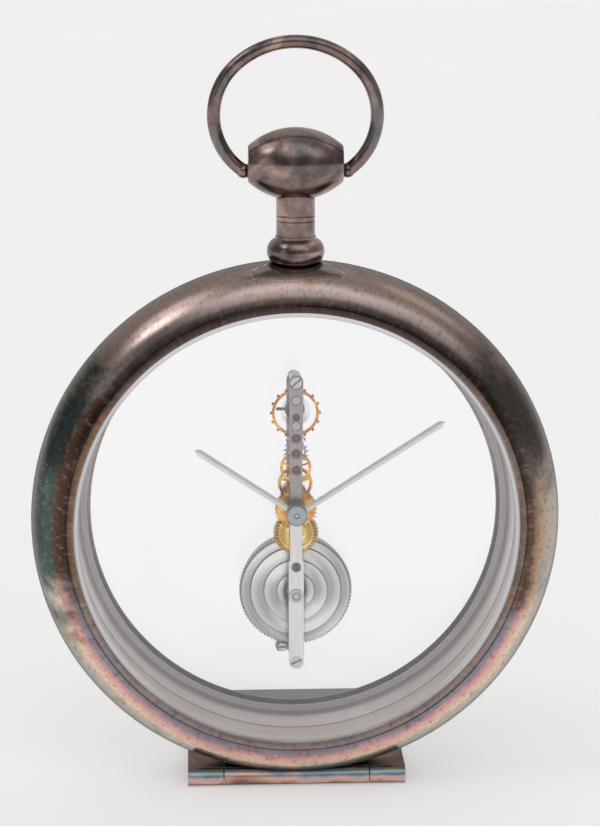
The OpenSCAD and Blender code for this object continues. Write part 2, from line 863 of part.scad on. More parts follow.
module click()
    color([0.78, 0.78, 0.78])
        facing(ratchet_layer, hub_z - click_drop)
            difference() {
                union() {
                    translate([click_x, 0])
                        circle(1.5);
                    polygon([
                        [click_x - 1, 1], [click_x + 1.2, 1],
                        [click_x + 0.75, 5.2], [click_x + 0.05, 5.35]
                    ]);
                }
                translate([click_x, 0])
                    circle(0.7 + run_gap);
            }

module click_spring()
    color([0.50, 0.52, 0.58])
        facing([ratchet_layer[0] + 0.1, plate_front_y], hub_z - click_drop)
            translate([click_x, 0])
                intersection() {
                    difference() {
                        circle(1.85);
                        circle(1.65);
                    }
                    polygon([[0, 0], polar(5, 130), polar(5, 185), polar(5, 240)]);
                }

module click_screw()
    color([0.72, 0.72, 0.72])
        difference() {
            union() {
                disc(hub_z - click_drop, 1.2, 7.1, ratchet_layer[0] - 0.05, click_x);
                disc(hub_z - click_drop, 0.7, 7.5, plate_back_y - 0.4, click_x);
            }
            translate([click_x - 2, 5.5, hub_z - click_drop - 0.2])
                cube([4, 2, 0.4]);
        }

// Two-winged key on the arbor's rear square
module winding_key()
    color([0.80, 0.66, 0.36])
        difference() {
            union() {
                disc(hub_z - barrel_drop, 2.2, key_front, key_front + 5);
                translate([0, 0, hub_z - barrel_drop])
                    rotate([0, 30, 0])
                        translate([0, 0, -0.8])
                            linear_extrude(1.6) {
                                for (side = [-1, 1])
                                    translate([side * 5, key_front + 6.5])
                                        circle(3.6);
                                translate([-5, key_front + 3.6])
                                    square([10, 3.4]);
                            }
            }
            facing([key_front - 1, key_front + 3], hub_z - barrel_drop)
                square(1.6, center = true);
        }

module intermediate_wheel()
    color([0.72, 0.53, 0.20])
        facing(intermediate_layer, hub_z - intermediate_drop)
            wheel_2d(intermediate_teeth_n, intermediate_m, 90, 0.8);

module intermediate_pinion()
    color([0.62, 0.62, 0.64])
        union() {
            shaft(
                hub_z - intermediate_drop,
                [[minute_layer[1] - 0.6, jewel_hole_r], [intermediate_layer[0] - 0.05, 0.8],
                 [intermediate_layer[1] + 0.05, 0.5], [plate_front_y - 0.1, 0.25]],
                plate_front_y + 0.9
            );
            facing([barrel_teeth[0] - 0.05, barrel_teeth[1] + 0.1], hub_z - intermediate_drop)
                gear_2d(intermediate_leaves, barrel_m, pinion_form, -90 + 180 / intermediate_leaves);
        }

module centre_wheel()
    color([0.85, 0.64, 0.26])
        facing(centre_layer, hub_z)
            wheel_2d(centre_teeth_n, centre_m, 90, 0.8, 4.5, 1.5, 4, 0.6);

module centre_arbor()
    color([0.62, 0.62, 0.64])
        union() {
            shaft(
                hub_z,
                [[-8.8, 0.4], [-8.7, centre_arbor_r], [centre_layer[0] - 0.1, 0.8], [key_front + 2, 0.7]],
                key_front + 2.2
            );
            facing([intermediate_layer[0] - 0.1, intermediate_layer[1] + 0.1], hub_z)
                gear_2d(centre_leaves, intermediate_m, pinion_form, -90 + 180 / centre_leaves);
        }

module cannon_pinion()
    color([0.62, 0.62, 0.64])
        difference() {
            union() {
                disc(hub_z, cannon_pipe_r, -8.2, minute_layer[1]);
                facing(minute_layer, hub_z)
                    gear_2d(cannon_leaves, cannon_m, pinion_form, -90 + 180 / cannon_leaves);
            }
            disc(hub_z, centre_arbor_r, -9, 0);
        }

// Polished wheel with a turned recess; its pinion stands in front of it
module minute_wheel()
    color([0.88, 0.68, 0.30])
        difference() {
            union() {
                facing(minute_layer, hub_z - intermediate_drop)
                    gear_2d(minute_teeth_n, cannon_m, wheel_form, 90);
                facing([hour_layer[0] - 0.1, minute_layer[0] + tiny], hub_z - intermediate_drop)
                    gear_2d(minute_leaves, hour_m, pinion_form, 90 + 180 / minute_leaves);
            }
            disc(hub_z - intermediate_drop, stud_post_r + run_gap, -3, 0);
            turned(hub_z - intermediate_drop)
                translate([1.9, minute_layer[0] - tiny])
                    square([2.2, 0.2]);
        }

module hour_wheel()
    color([0.85, 0.64, 0.26])
        difference() {
            union() {
                facing(hour_layer, hub_z)
                    gear_2d(hour_teeth_n, hour_m, wheel_form, -90);
                disc(hub_z, hour_pipe_r, -7.1, hour_layer[1]);
            }
            disc(hub_z, cannon_pipe_r + run_gap, -8, 0);
        }

// Baton hand pointing up, with a round boss; it widens outwards to a short point
module hand_2d(length, boss_r, bore_r)
    difference() {
        union() {
            circle(boss_r);
            polygon([
                [-0.8, 0], [0.8, 0], [0.95, length - 1.4],
                [0, length], [-0.95, length - 1.4]
            ]);
        }
        circle(bore_r);
    }

// Hand whose front falls away on both sides of a ridge along its length
module ridged_hand(layer, angle, length, boss_r, bore_r)
    difference() {
        facing(layer, hub_z)
            rotate(-angle)
                hand_2d(length, boss_r, bore_r);
        for (side = [-1, 1])
            translate([0, layer[0], hub_z])
                rotate([0, angle, 0])
                    translate([0, 0, boss_r + 0.5])
                        rotate([0, 0, side * hand_slope])
                            translate([side > 0 ? 0 : -2, -1, 0])
                                cube([2, 1, length]);
    }

module minute_hand()
    color([0.82, 0.81, 0.79])
        ridged_hand([-8.05, -7.65], minute_angle, minute_len, 2.3, cannon_pipe_r);

module hour_hand()
    color([0.82, 0.81, 0.79])
        ridged_hand([-7.1, -6.7], hour_angle, hour_len, 2.5, hour_pipe_r);

module hand_nut()
    color([0.58, 0.64, 0.68])
        difference() {
            union() {
                turned(hub_z)
                    polygon([[0, -8.9], [2.65, -8.9], [2.9, -8.7], [2.9, -8.2], [0, -8.2]]);
                disc(hub_z, 2, -8.21, -8.05);
            }
            disc(hub_z, centre_arbor_r + 0.25, -9, -8.6);
            disc(hub_z, centre_arbor_r, -9, -8);
            disc(hub_z, cannon_pipe_r, -8.2, -8);
        }

module setting_knob()
    color([0.80, 0.66, 0.36])
        difference() {
            facing([key_front, key_front + 3.2], hub_z)
                polygon([for (i = [0:71]) polar(3.6 + 0.15 * cos(i * 120), i * 5)]);
            disc(hub_z, 0.8, key_front - 1, key_front + 2);
            disc(hub_z, 0.7, key_front + 1, key_front + 2.2);
        }

module third_wheel()
    color([0.85, 0.64, 0.26])
        facing(third_layer, hub_z + third_rise)
            wheel_2d(third_teeth_n, third_m, 90, 0.6, 3.9, 1.2, 5, 0.55);

module third_pinion()
    color([0.62, 0.62, 0.64])
        union() {
            shaft(
                hub_z + third_rise,
                [[bar_back - 0.7, pivot_r], [-0.5, 0.4], [third_layer[0] - 0.05, 0.6],
                 [third_layer[1] + 0.05, 0.4], [plate_front_y - 0.1, pivot_r]],
                plate_front_y + 0.9
            );
            facing([centre_layer[0] - 0.2, centre_layer[1] + 0.2], hub_z + third_rise)
                gear_2d(third_leaves, centre_m, pinion_form, -90 + 180 / third_leaves);
        }

module fourth_wheel()
    color([0.85, 0.64, 0.26])
        facing(fourth_layer, hub_z + fourth_rise)
            wheel_2d(fourth_teeth_n, fourth_m, 90, 0.55, 3.5, 1.1, 5, 0.45);

module fourth_pinion()
    color([0.62, 0.62, 0.64])
        union() {
            shaft(
                hub_z + fourth_rise,
                [[bar_front + 0.5, pivot_r], [bar_back + 0.1, 0.35], [fourth_layer[0] - 0.05, 0.55],
                 [fourth_layer[1] + 0.05, 0.35], [plate_front_y - 0.1, pivot_r]],
                plate_front_y + 0.9
            );
            facing([third_layer[0] - 0.3, third_layer[1] + 0.3], hub_z + fourth_rise)
                gear_2d(fourth_leaves, third_m, pinion_form, -90 + 180 / fourth_leaves);
        }

// Lever escape wheel with slanted pointed teeth
module escape_wheel()
    color([0.50, 0.50, 0.52])
        facing(escape_layer, hub_z + escape_rise)
            difference() {
                polygon([for (i = [0:escape_teeth_n - 1], tooth = [[2.8, 0], [3.45, 9], [escape_r, 12.5], [2.8, 11]])
                    polar(tooth[0], 90 + i * 360 / escape_teeth_n + tooth[1])]);
                circle(0.45);
                difference() {
                    circle(2.3);
                    circle(0.9);
                    for (i = [0:3])
                        rotate(i * 90 + 20)
                            translate([0, -0.2])
                                square([3, 0.4]);
                }
            }

module escape_pinion()
    color([0.62, 0.62, 0.64])
        union() {
            shaft(
                hub_z + escape_rise,
                [[bar_front + 0.5, pivot_r], [bar_back + 0.1, 0.25], [escape_layer[0] - 0.05, 0.45],
                 [escape_layer[1] + 0.05, 0.25], [plate_front_y - 0.1, pivot_r]],
                plate_front_y + 0.9
            );
            facing([fourth_layer[0] - 0.3, fourth_layer[1] + 0.3], hub_z + escape_rise)
                gear_2d(escape_leaves, fourth_m, pinion_form, -90 + 180 / escape_leaves);
        }

// Anchor and lever in one, with its arbor; the lever's end is notched for the impulse jewel
module pallet_fork()
    color([0.66, 0.66, 0.68])
        union() {
            facing([-1.4, -1.1], hub_z + pallet_rise)
                difference() {
                    union() {
                        circle(0.7);
                        polygon([[-2.7, -0.75], [-2.1, -0.85], [0, -0.1], [2.1, -0.85], [2.7, -0.75],
                                 [2.4, -0.2], [0, 0.55], [-2.4, -0.2]]);
                        polygon([[-0.3, 0], [0.3, 0], [0.22, 3.6], [0.55, 4.4], [-0.55, 4.4], [-0.22, 3.6]]);
                    }
                    translate([-0.25, 3.9])
                        square([0.5, 1]);
                }
            shaft(
                hub_z + pallet_rise,
                [[bar_front + 0.5, pivot_r], [bar_back + 0.1, 0.3], [-0.55, pivot_r]],
                0.1
            );
        }

module pallet_stones()
    color([0.55, 0.16, 0.50])
        for (side = [-1, 1])
            translate([side * 2.42, -1.45, hub_z + pallet_rise - 1.22])
                rotate([0, side * 22, 0])
                    translate([-0.2, 0, 0])
                        cube([0.4, 0.4, 0.36]);

module balance_wheel()
    color([0.87, 0.66, 0.28])
        facing(balance_layer, hub_z + balance_rise)
            difference() {
                circle(balance_r);
                difference() {
                    circle(balance_r - balance_rim);
                    circle(1.1);
                    translate([-0.35, -balance_r])
                        square([0.7, 2 * balance_r]);
                }
                circle(0.5);
            }

module balance_screws()
    color([0.90, 0.70, 0.32])
        for (i = [0:balance_screw_n - 1])
            translate([0, (balance_layer[0] + balance_layer[1]) / 2, hub_z + balance_rise])
                rotate([0, i * 360 / balance_screw_n, 0])
                    translate([balance_r + tiny, 0, 0])
                        rotate([0, 90, 0])
                            cylinder(r = balance_screw_r, h = 0.55, $fn = 32);

module balance_staff()
    color([0.62, 0.62, 0.64])
        shaft(
            hub_z + balance_rise,
            [[bar_front + 0.5, pivot_r], [bar_back + 0.1, 0.35], [-0.9, roller_r], [-0.55, 0.35],
             [balance_layer[0] - 0.3, 0.5], [balance_layer[1] + 0.1, 0.35],
             [spring_layer[0] - 0.1, 0.8], [spring_layer[1] + 0.1, 0.35], [5.4, pivot_r]],
            6.4
        );

module impulse_jewel()
    color([0.62, 0.10, 0.28])
        disc(hub_z + balance_rise - impulse_r, 0.17, -1.5, -0.9);

case_ring();
front_bezel();
rear_bezel();
inner_sleeve();
front_glass();
rear_glass();
gaskets();
pendant_collar();
pendant_neck();
pendant_stud();
crown();
bow_bushings();
bow();
case_lug();
foot_plate();
hinge_pin();
rear_plate();
train_bridge();
barrel_bridge();
bridge_bushes();
pillars();
bridge_screws();
steady_pins();
mounting_screws();
jewels();
pallet_cock();
regulator();
hairspring();
click();
click_spring();
click_screw();
barrel_drum();
barrel_cover();
mainspring();
barrel_arbor();
ratchet_wheel();
winding_key();
intermediate_wheel();
intermediate_pinion();
centre_wheel();
centre_arbor();
cannon_pinion();
minute_wheel();
hour_wheel();
minute_hand();
hour_hand();
hand_nut();
setting_knob();
third_wheel();
third_pinion();
fourth_wheel();
fourth_pinion();
escape_wheel();
escape_pinion();
pallet_fork();
pallet_stones();
balance_wheel();
balance_screws();
balance_staff();
impulse_jewel();
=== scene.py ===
"""Looks of the desk clock: procedural materials, small surface details, studio and camera."""

import json
import math

import bmesh
import bpy
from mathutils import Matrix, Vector


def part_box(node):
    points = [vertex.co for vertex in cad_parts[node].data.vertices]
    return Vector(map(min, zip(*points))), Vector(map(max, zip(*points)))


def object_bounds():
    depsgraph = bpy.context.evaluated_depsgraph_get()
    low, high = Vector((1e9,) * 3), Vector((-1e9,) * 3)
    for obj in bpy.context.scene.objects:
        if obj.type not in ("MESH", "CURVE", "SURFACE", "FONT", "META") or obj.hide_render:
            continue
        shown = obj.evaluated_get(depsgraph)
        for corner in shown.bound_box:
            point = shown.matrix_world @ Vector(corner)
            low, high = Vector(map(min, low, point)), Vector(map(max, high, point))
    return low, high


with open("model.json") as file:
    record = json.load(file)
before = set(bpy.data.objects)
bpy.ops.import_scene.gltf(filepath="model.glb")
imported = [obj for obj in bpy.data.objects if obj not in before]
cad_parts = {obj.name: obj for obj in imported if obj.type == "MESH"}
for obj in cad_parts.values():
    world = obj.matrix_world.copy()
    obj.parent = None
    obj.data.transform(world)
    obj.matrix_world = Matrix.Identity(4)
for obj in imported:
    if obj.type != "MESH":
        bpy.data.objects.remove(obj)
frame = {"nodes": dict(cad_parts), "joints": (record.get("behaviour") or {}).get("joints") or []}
CAD_LOW, CAD_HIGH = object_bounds()
MM = 0.001
JOINTS = {joint["name"]: Vector(joint["pos_m"]) for joint in frame["joints"]}
GLASS_LOW, GLASS_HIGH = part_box("front_glass")
CASE = (GLASS_LOW + GLASS_HIGH) / 2
CASE.y = 0.0


# Node graphs ---------------------------------------------------------------

class Graph:
    """Builds the node graph of one material; lengths inside it are in millimetres."""

    def __init__(self, name):
        self.material = bpy.data.materials.new(name)
        self.material.use_nodes = True
        self.tree = self.material.node_tree
        self.tree.nodes.clear()
        self.output = self.tree.nodes.new("ShaderNodeOutputMaterial")
        coords = self.tree.nodes.new("ShaderNodeTexCoord")
        self.position = self.vector("SCALE", coords.outputs["Object"], scale=1 / MM)
        self.x, self.y, self.z = self.parts(self.position)

    def put(self, socket, value):
        if isinstance(value, bpy.types.NodeSocket):
            self.tree.links.new(value, socket)
        elif value is not None:
            socket.default_value = value

    def node(self, kind, inputs, **settings):
        made = self.tree.nodes.new("ShaderNode" + kind)
        for key, value in settings.items():
            setattr(made, key, value)
        for key, value in inputs.items():
            self.put(made.inputs[key], value)
        return made

    def math(self, operation, a, b=0.0, clamp=False):
        return self.node("Math", {0: a, 1: b}, operation=operation, use_clamp=clamp).outputs[0]

    def vector(self, operation, a, b=None, scale=None):
        made = self.node("VectorMath", {0: a}, operation=operation)
        self.put(made.inputs[1], b)
        if scale is not None:
            self.put(made.inputs["Scale"], scale)
        index = 1 if operation in ("LENGTH", "DOT_PRODUCT", "DISTANCE") else 0
        return made.outputs[index]

    def parts(self, vector):
        return self.node("SeparateXYZ", {0: vector}).outputs[0:3]

    def joined(self, x, y, z):
        return self.node("CombineXYZ", {0: x, 1: y, 2: z}).outputs[0]

    def step(self, value, low, high, to_low=0.0, to_high=1.0):
        inputs = {"Value": value, "From Min": low, "From Max": high, "To Min": to_low, "To Max": to_high}
        return self.node("MapRange", inputs, interpolation_type="SMOOTHSTEP").outputs[0]

    def noise(self, size, detail=3.0, roughness=0.55, vector=None, distortion=0.0):
        vector = vector or self.position
        inputs = {"Vector": vector, "Scale": 1 / size, "Detail": detail, "Roughness": roughness,
                  "Distortion": distortion}
        return self.node("TexNoise", inputs).outputs[0]

    def ramp(self, factor, stops, interpolation="EASE"):
        made = self.node("ValToRGB", {0: factor})
        ramp = made.color_ramp
        ramp.interpolation = interpolation
        while len(ramp.elements) < len(stops):
            ramp.elements.new(1.0)
        for element, (place, colour) in zip(ramp.elements, stops):
            element.position = place
            element.color = (*colour, 1.0)
        return made.outputs[0]

    def mix(self, factor, a, b, blend="MIX"):
        made = self.node("Mix", {0: factor}, data_type="RGBA", blend_type=blend)
        self.put(made.inputs[6], self.colour(a))
        self.put(made.inputs[7], self.colour(b))
        return made.outputs[2]

    def colour(self, value):
        return (*value, 1.0) if isinstance(value, tuple) and len(value) == 3 else value

    def bump(self, height, distance, strength=1.0, normal=None):
        inputs = {"Height": height, "Distance": distance * MM, "Strength": strength}
        if normal is not None:
            inputs["Normal"] = normal
        return self.node("Bump", inputs).outputs[0]

    def rounded(self, radius):
        """Normal that rounds sharp edges off, so that they catch the light."""
        return self.node("Bevel", {"Radius": radius * MM}, samples=6).outputs[0]

    def edges(self, rounded):
        """Mask of the sharp edges, 1 on the edge."""
        flat = self.node("NewGeometry", {}).outputs["Normal"]
        along = self.vector("DOT_PRODUCT", rounded, flat)
        return self.step(along, 0.995, 0.88)

    def around(self, centre):
        """Distance from an axis along Y, and the angle about it in turns of a circle."""
        off = self.joined(self.math("SUBTRACT", self.x, centre.x / MM), 0.0,
                          self.math("SUBTRACT", self.z, centre.z / MM))
        dx, _, dz = self.parts(off)
        return self.vector("LENGTH", off), self.math("ARCTAN2", dx, dz)

    def metal(self, colour, roughness, normal=None, anisotropy=0.0, tangent=None, metallic=1.0, dull=None,
              painted_shade_reach=0.0):
        """Metal surface with painted shade darkening its colour in cavities of a given reach; a dull colour
        takes over where seen edge on.
        """
        if painted_shade_reach:
            # Painted shade: where ambient occlusion finds nearby surfaces, the colour is multiplied darker.
            open_sky = self.node("AmbientOcclusion", {"Distance": painted_shade_reach * MM}, samples=6).outputs["AO"]
            shadow = self.mix(1.0, colour, (0.20, 0.17, 0.15), "MULTIPLY")
            colour = self.mix(self.step(open_sky, 0.30, 0.92), shadow, colour)
        inputs = {"Base Color": self.colour(colour), "Roughness": roughness, "Metallic": metallic,
                  "Anisotropic": anisotropy, "Specular IOR Level": 0.5}
        if normal is not None:
            inputs["Normal"] = normal
        if tangent is not None:
            inputs["Tangent"] = tangent
        surface = self.node("BsdfPrincipled", inputs).outputs[0]
        if dull is not None:
            grazing = self.node("LayerWeight", {"Blend": 0.5}).outputs["Facing"]
            matte = self.node("BsdfDiffuse", {"Color": self.colour(dull)}).outputs[0]
            share = self.step(grazing, 0.62, 0.97, 0.0, 0.85)
            surface = self.node("MixShader", {0: share, 1: surface, 2: matte}).outputs[0]
        self.put(self.output.inputs["Surface"], surface)
        return surface

    def round_tangent(self, centre):
        """Direction round an axis along Y, for marks left by turning."""
        off = self.vector("SUBTRACT", self.position, tuple(centre / MM))
        return self.vector("NORMALIZE", self.vector("CROSS_PRODUCT", off, (0.0, 1.0, 0.0)))


def mottled(graph, colour, spread, size):
    """A colour that drifts lighter and darker in soft clouds and fine grain."""
    clouds = graph.noise(size, 5.0, 0.6)
    grain = graph.noise(size / 14, 3.0, 0.7)
    both = graph.math("ADD", graph.math("MULTIPLY", clouds, 0.75), graph.math("MULTIPLY", grain, 0.25))
    dark = tuple(c * (1 - spread) for c in colour)
    light = tuple(min(1.0, c * (1 + spread)) for c in colour)
    return graph.ramp(both, [(0.3, dark), (0.5, colour), (0.72, light)])


# Case metals ---------------------------------------------------------------

RING_R = 59.6
SECTION_R = 13.6

# Colours from the inner edge of the section (0) to its outer edge (1): tarnish, with painted highlight and
# painted reflection in the brightest bands, and a dark band near the inner edge
TOP_TARNISH_AND_HIGHLIGHT_BANDS = [
    (0.05, (0.30, 0.22, 0.185)), (0.18, (0.21, 0.15, 0.127)), (0.26, (0.065, 0.048, 0.042)),
    (0.36, (0.15, 0.112, 0.105)), (0.48, (0.34, 0.275, 0.265)), (0.62, (0.52, 0.405, 0.37)),
    (0.80, (0.42, 0.31, 0.27)), (1.00, (0.22, 0.17, 0.155))
]
DUSKY_BANDS = [
    (0.05, (0.36, 0.27, 0.23)), (0.20, (0.20, 0.14, 0.11)), (0.28, (0.045, 0.035, 0.03)),
    (0.50, (0.15, 0.12, 0.115)), (0.80, (0.17, 0.135, 0.125)), (1.00, (0.13, 0.10, 0.095))
]
BEIGE_BANDS = [
    (0.05, (0.15, 0.11, 0.09)), (0.18, (0.20, 0.14, 0.11)), (0.28, (0.10, 0.062, 0.046)),
    (0.38, (0.14, 0.08, 0.055)), (0.46, (0.34, 0.20, 0.13)), (0.56, (0.47, 0.34, 0.24)),
    (0.74, (0.50, 0.42, 0.35)), (1.00, (0.40, 0.35, 0.31))
]
FILM_AND_HIGHLIGHT_BANDS = [
    (0.05, (0.20, 0.145, 0.13)), (0.16, (0.30, 0.24, 0.23)), (0.25, (0.22, 0.22, 0.26)),
    (0.34, (0.34, 0.26, 0.31)), (0.43, (0.64, 0.37, 0.37)), (0.52, (0.84, 0.50, 0.43)),
    (0.62, (0.84, 0.63, 0.49)), (0.73, (0.56, 0.49, 0.40)), (0.86, (0.36, 0.35, 0.31)),
    (1.00, (0.30, 0.30, 0.28))
]
TEAL_BANDS = [
    (0.05, (0.26, 0.17, 0.11)), (0.17, (0.17, 0.095, 0.06)), (0.26, (0.045, 0.032, 0.028)),
    (0.38, (0.085, 0.045, 0.034)), (0.47, (0.105, 0.066, 0.048)), (0.57, (0.085, 0.105, 0.088)),
    (0.68, (0.065, 0.115, 0.115)), (0.80, (0.052, 0.066, 0.062)), (1.00, (0.085, 0.085, 0.07))
]


def ring_metal(name, shift=0.0):
    """Silver plate whose tarnish runs in bands along the ring and changes round it, with painted highlights
    and painted reflections laid into the bands.
    """
    g = Graph(name)
    radius, angle = g.around(CASE)
    wide = g.noise(24.0, 4.0, 0.6, distortion=0.5)
    other = g.noise(15.0, 4.0, 0.62, g.vector("ADD", g.position, (300.0, 0.0, 0.0)), 0.4)
    fine = g.noise(2.6, 4.0, 0.66)
    drift = g.math("MULTIPLY", g.math("SUBTRACT", wide, 0.5), 0.34)
    ragged = g.math("MULTIPLY", g.math("SUBTRACT", fine, 0.5), 0.10)
    outwards = g.math("DIVIDE", g.math("SUBTRACT", radius, RING_R), SECTION_R)
    band = g.math("ADD", g.math("ADD", outwards, shift), g.math("ADD", drift, ragged), clamp=True)
    steady = g.math("ADD", outwards, g.math("MULTIPLY", g.math("ADD", drift, ragged), 0.3), clamp=True)
    wander = g.math("MULTIPLY", g.math("SUBTRACT", other, 0.5), 46.0)
    place = g.math("ADD", g.math("MULTIPLY", angle, 180 / math.pi), wander)
    left = g.math("MULTIPLY", place, -1.0)
    base = g.ramp(steady, TOP_TARNISH_AND_HIGHLIGHT_BANDS)
    base = g.mix(g.step(place, 36.0, 52.0), base, g.ramp(steady, DUSKY_BANDS))
    base = g.mix(g.step(place, 74.0, 86.0), base, g.ramp(band, BEIGE_BANDS))
    base = g.mix(g.step(left, 44.0, 58.0), base, g.ramp(band, TEAL_BANDS))
    # The film bands hold painted highlight and painted reflection as well as the tarnish film.
    film = g.ramp(band, FILM_AND_HIGHLIGHT_BANDS)
    base = g.mix(g.step(place, 98.0, 116.0), base, film)
    base = g.mix(g.step(left, 100.0, 114.0), base, film)
    low = g.math("MAXIMUM", g.step(place, 84.0, 110.0), g.step(left, 66.0, 100.0))
    teal = g.math("MULTIPLY", g.step(g.noise(9.0, 4.0, 0.6), 0.55, 0.66), g.step(outwards, 0.5, 0.8))
    base = g.mix(g.math("MULTIPLY", g.math("MULTIPLY", teal, low), 0.75), base, (0.15, 0.29, 0.27))
    spots = g.noise(12.0, 4.0, 0.65, g.vector("ADD", g.position, (0.0, 90.0, 0.0)))
    rust = g.math("MULTIPLY", g.step(spots, 0.58, 0.68), 0.55)
    base = g.mix(rust, base, (0.36, 0.17, 0.12))
    drawn = g.joined(g.math("MULTIPLY", angle, 55.0), g.y, g.math("MULTIPLY", radius, 0.12))
    streaks = g.noise(1.0, 4.0, 0.65, drawn)
    base = g.mix(g.step(streaks, 0.5, 0.74, 0.0, 0.42), base, (0.40, 0.33, 0.31))
    base = g.mix(g.step(streaks, 0.50, 0.27, 0.0, 0.50), base, (0.07, 0.055, 0.05))
    specks = g.step(g.noise(0.5, 1.0, 0.4), 0.76, 0.82, 0.0, 0.45)
    base = g.mix(specks, base, (0.75, 0.72, 0.68))
    # Traces of solder in front of and behind the collar, in the outline of a lens
    across = g.math("POWER", g.math("DIVIDE", g.x, 13.0), 2.0)
    rise = g.math("POWER", g.math("DIVIDE", g.math("SUBTRACT", outwards, 0.86), 0.16), 2.0)
    lens = g.math("ADD", g.math("ADD", across, rise), g.math("MULTIPLY", g.math("SUBTRACT", fine, 0.5), 0.5))
    solder = g.math("MULTIPLY", g.step(lens, 1.05, 0.95), g.step(g.z, CASE.z / MM, CASE.z / MM + 1.0))
    broken = g.step(g.noise(1.8, 2.0, 0.5), 0.50, 0.60)
    rim = g.math("MULTIPLY", g.math("MULTIPLY", solder, broken), g.step(lens, 0.84, 0.94))
    base = g.mix(g.math("MULTIPLY", solder, 0.38), base, (0.26, 0.25, 0.25))
    base = g.mix(g.math("MULTIPLY", rim, 0.6), base, (0.80, 0.78, 0.75))
    rough = g.math("ADD", g.step(wide, 0.3, 0.7, 0.12, 0.20), g.math("MULTIPLY", fine, 0.08))
    height_map = g.math("ADD", g.math("MULTIPLY", fine, 0.35), g.math("MULTIPLY", streaks, 0.25))
    g.metal(base, rough, g.bump(height_map, 0.02, 0.5), dull=(0.13, 0.115, 0.10))
    return g.material


def pendant_metal(name):
    """Warm grey-brown worn silver of the crown, neck, collar and bow."""
    g = Graph(name)
    clouds = g.noise(9.0, 5.0, 0.62, distortion=0.5)
    wiped = g.noise(1.5, 3.0, 0.6, g.joined(g.x, g.y, g.math("MULTIPLY", g.z, 0.22)))
    warm = g.ramp(clouds, [
        (0.30, (0.075, 0.072, 0.075)), (0.42, (0.145, 0.118, 0.112)),
        (0.52, (0.24, 0.172, 0.158)), (0.66, (0.44, 0.31, 0.28))
    ])
    cool = g.mix(g.step(g.noise(15.0, 3.0), 0.52, 0.66, 0.0, 0.45), warm, (0.17, 0.20, 0.215))
    base = g.mix(g.step(wiped, 0.5, 0.8, 0.0, 0.3), cool, (0.46, 0.37, 0.35))
    rounded = g.rounded(0.15)
    base = g.mix(g.math("MULTIPLY", g.edges(rounded), 0.6), base, (0.70, 0.60, 0.55))
    rough = g.step(clouds, 0.3, 0.7, 0.14, 0.24)
    g.metal(base, rough, g.bump(wiped, 0.015, 0.4, rounded), painted_shade_reach=1.6)
    return g.material


def foot_metal(name):
    """Dark red-brown blocks of tarnish with painted shade, a painted shadow of the ring on their upward faces
    behind the hinge, and a heat-coloured knuckle along the hinge.
    """
    g = Graph(name)
    hinge = JOINTS["foot_fold"] / MM
    off = g.joined(0.0, g.math("SUBTRACT", g.y, hinge.y), g.math("SUBTRACT", g.z, hinge.z))
    reach = g.vector("LENGTH", off)
    _, dy, dz = g.parts(off)
    turn = g.math("DIVIDE", g.math("ARCTAN2", dz, g.math("MULTIPLY", dy, -1.0)), math.pi)
    clouds = g.noise(11.0, 5.0, 0.62, distortion=0.4)
    fine = g.noise(1.6, 4.0, 0.6)
    drift = g.math("MULTIPLY", g.math("SUBTRACT", clouds, 0.5), 1.3)
    shifted = g.math("ADD", g.math("ADD", turn, 0.34), drift, clamp=True)
    film = g.ramp(shifted, [
        (0.0, (0.23, 0.16, 0.14)), (0.16, (0.62, 0.33, 0.24)), (0.32, (0.78, 0.50, 0.44)),
        (0.46, (0.55, 0.50, 0.50)), (0.60, (0.30, 0.36, 0.45)), (0.74, (0.24, 0.40, 0.38)),
        (0.90, (0.55, 0.36, 0.28)), (1.0, (0.35, 0.20, 0.17))
    ])
    # The dark red-brown is tarnish together with painted shade.
    block = g.ramp(clouds, [
        (0.3, (0.055, 0.032, 0.029)), (0.5, (0.13, 0.055, 0.044)), (0.68, (0.24, 0.115, 0.09))
    ])
    # Painted shadow of the ring: upward faces behind the hinge turn dark grey.
    _, _, upwards = g.parts(g.node("NewGeometry", {}).outputs["Normal"])
    painted_ring_shadow = g.math("MULTIPLY", g.step(upwards, 0.7, 0.9), g.step(g.y, 3.0, 6.0))
    block = g.mix(g.math("MULTIPLY", painted_ring_shadow, 0.85), block, (0.10, 0.098, 0.10))
    base = g.mix(g.step(reach, 2.45, 2.75), film, block)
    rounded = g.rounded(0.2)
    base = g.mix(g.math("MULTIPLY", g.edges(rounded), 0.5), base, (0.60, 0.44, 0.38))
    rough = g.math("ADD", 0.24, g.math("MULTIPLY", fine, 0.22))
    g.metal(base, rough, g.bump(fine, 0.03, 0.5, rounded), painted_shade_reach=1.2)
    return g.material


def sleeve_metal(name):
    """Nickel sleeve brushed round the axis, warmer in its front half than in its rear half."""
    g = Graph(name)
    _, angle = g.around(CASE)
    lines = g.noise(0.35, 2.0, 0.6, g.joined(g.math("MULTIPLY", angle, 1.6), g.y, 0.0))
    stretched = g.joined(g.math("MULTIPLY", angle, 20.0), g.math("MULTIPLY", g.y, 0.2), 0.0)
    along = g.noise(5.0, 3.0, 0.6, stretched)
    split = g.step(g.math("ADD", g.y, g.math("MULTIPLY", along, 0.6)), 0.4, 0.9)
    base = g.mix(split, (0.62, 0.53, 0.455), (0.64, 0.57, 0.55))
    base = g.mix(g.step(lines, 0.4, 0.7, 0.0, 0.25), base, (0.38, 0.34, 0.32))
    base = g.mix(g.step(along, 0.45, 0.75, 0.0, 0.25), base, (0.86, 0.82, 0.80))
    rough = g.math("ADD", 0.26, g.math("MULTIPLY", lines, 0.16))
    g.metal(base, rough, g.bump(lines, 0.02, 0.35), 0.55, g.round_tangent(CASE))
    return g.material


